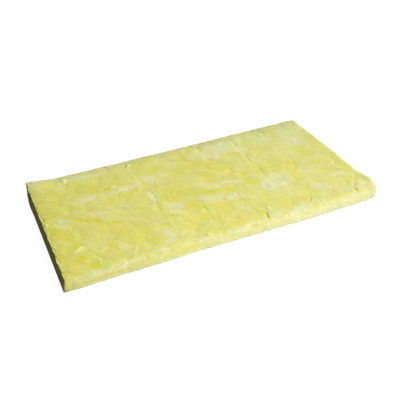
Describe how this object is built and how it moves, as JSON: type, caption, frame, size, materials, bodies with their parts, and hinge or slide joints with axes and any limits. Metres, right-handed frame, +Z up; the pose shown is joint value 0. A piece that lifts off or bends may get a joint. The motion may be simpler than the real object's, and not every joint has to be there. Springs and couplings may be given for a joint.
{
  "type": "glass wool insulation slab",
  "caption": "Flat rectangular slab of yellow resin-bonded glass wool with soft edges, a clean cut end and faint press lines; fills wall, floor and roof cavities to hold heat and damp sound.",
  "frame": {"origin": "middle of the flat underside", "axes": "+X along the length towards the worn end, +Y across the width towards the far long side, +Z up through the thickness"},
  "size_m": [1.2, 0.6, 0.05],
  "materials": {
    "glass_wool": "matte, fibrous, wispy yellow wool"
  },
  "bodies": {
    "root": {"wool_slab": "glass_wool"}
  },
  "joints": []
}
